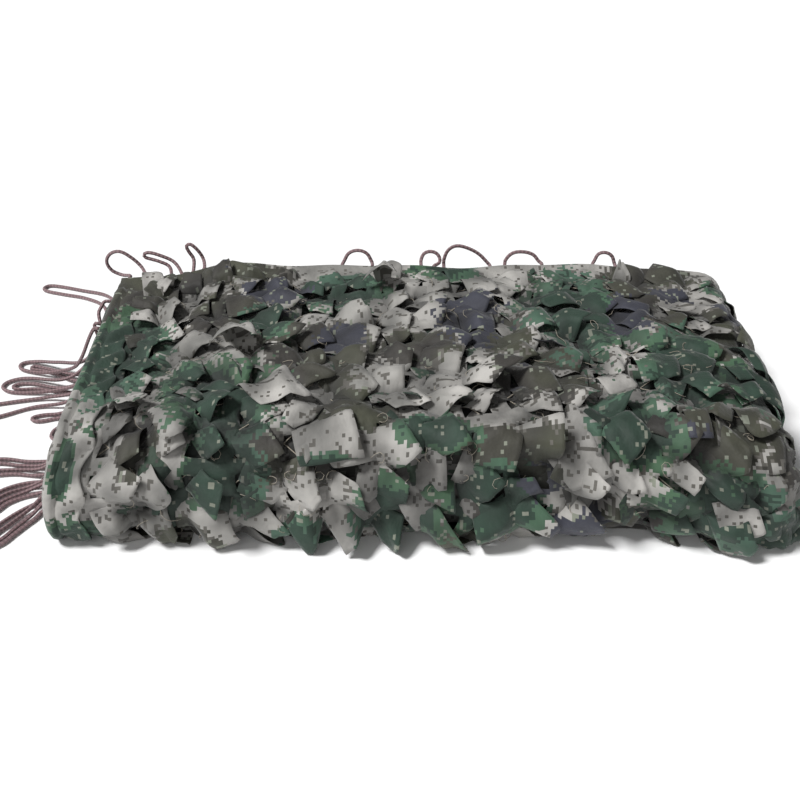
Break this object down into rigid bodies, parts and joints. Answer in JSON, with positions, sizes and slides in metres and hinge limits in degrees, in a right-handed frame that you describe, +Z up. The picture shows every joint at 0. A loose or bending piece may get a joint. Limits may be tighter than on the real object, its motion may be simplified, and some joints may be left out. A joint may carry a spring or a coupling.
{
  "type": "folded camouflage net",
  "caption": "Garnished camouflage net folded back and forth into a low pack, with leaf-cut cloth, sewn bindings on two edges and looped braided ties.",
  "frame": {"origin": "bottom centre of the pack, on the surface that it lies on; the free ties aren't counted", "axes": "+X along the pack, away from the bound left end; +Y from the folded front to the back; +Z up"},
  "size_m": [0.9181, 0.6071, 0.1599],
  "materials": {
    "garnish_cloth": "matte woven cloth printed with small squares of grey, green and brown",
    "binding_cloth": "matte woven cloth, doubled and sewn",
    "tie_braid": "matte braided cord"
  },
  "bodies": {
    "root": {"garnish_cloth": "garnish_cloth", "side_binding": "binding_cloth", "hem_binding": "binding_cloth", "tie_left_1": "tie_braid", "tie_left_2": "tie_braid", "tie_left_3": "tie_braid", "tie_left_4": "tie_braid", "tie_left_5": "tie_braid", "tie_left_6": "tie_braid", "tie_left_7": "tie_braid", "tie_side": "tie_braid", "tie_low_1": "tie_braid", "tie_low_2": "tie_braid", "tie_low_3": "tie_braid", "tie_low_4": "tie_braid", "tie_low_5": "tie_braid", "tie_low_6": "tie_braid", "tie_back_long": "tie_braid", "tie_corner": "tie_braid", "tie_stub": "tie_braid", "tie_hem_1": "tie_braid", "tie_hem_2": "tie_braid", "tie_hem_3": "tie_braid", "tie_hem_4": "tie_braid", "tie_hem_5": "tie_braid", "tie_hem_6": "tie_braid"}
  },
  "joints": []
}
